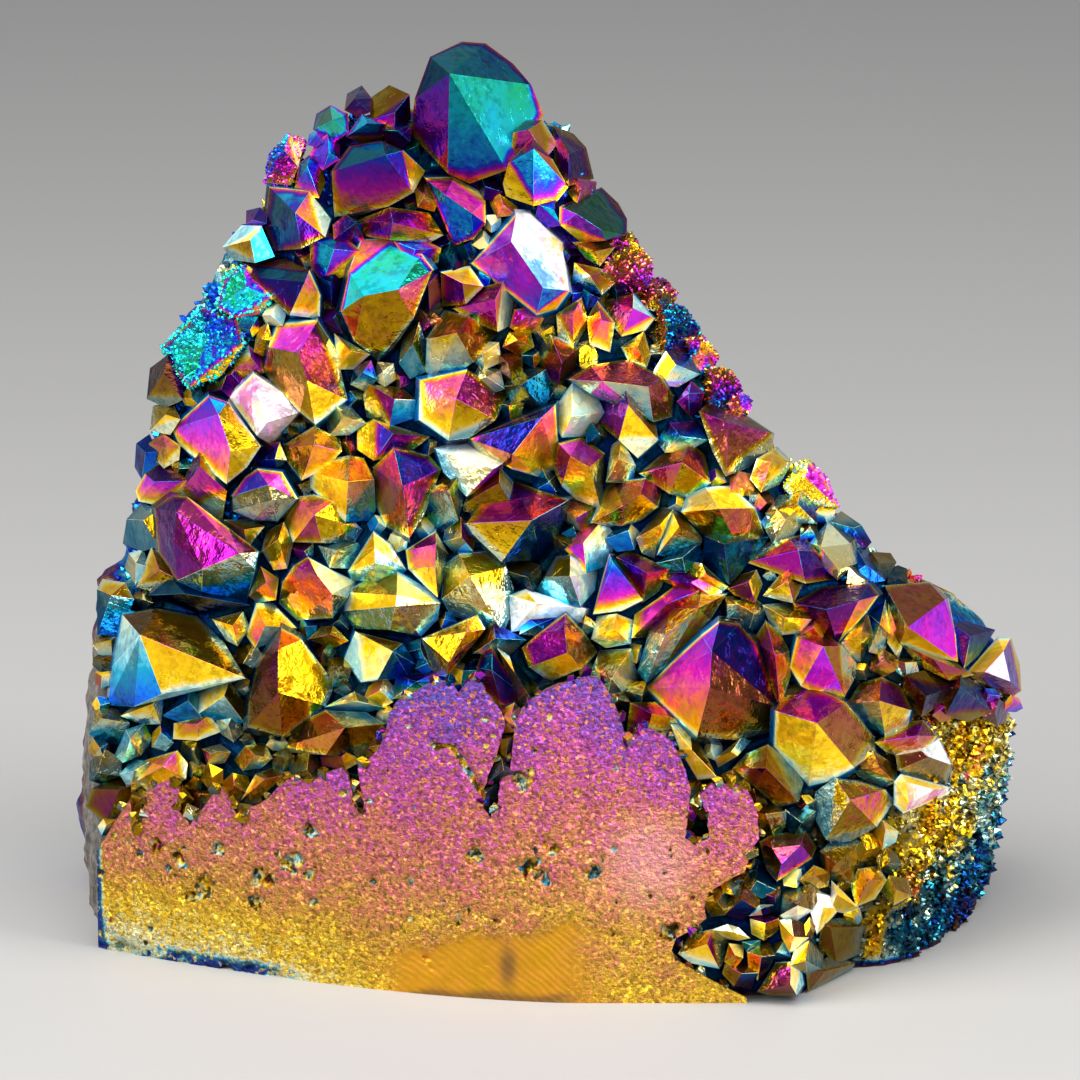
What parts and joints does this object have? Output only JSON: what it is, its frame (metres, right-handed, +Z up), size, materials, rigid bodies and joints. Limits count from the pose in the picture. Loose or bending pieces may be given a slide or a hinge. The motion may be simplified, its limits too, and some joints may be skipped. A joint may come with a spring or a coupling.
{
  "type": "crystal cluster",
  "caption": "Display cluster of quartz points with an iridescent metal coating, grown on a rock matrix, with a sawn flat base that it stands on and a sawn front face below the points.",
  "frame": {"origin": "middle of the bounding box, on the plane of the sawn base", "axes": "+Z up, +X along the width, to the viewer's right; -Y towards the viewer, out of the sawn front face; +Y towards the rough back"},
  "size_m": [0.121, 0.0656, 0.1139],
  "materials": {
    "coated_quartz": "glossy iridescent metal coating, from gold over magenta to blue and green"
  },
  "bodies": {
    "root": {"druzy_specimen": "coated_quartz"}
  },
  "joints": []
}
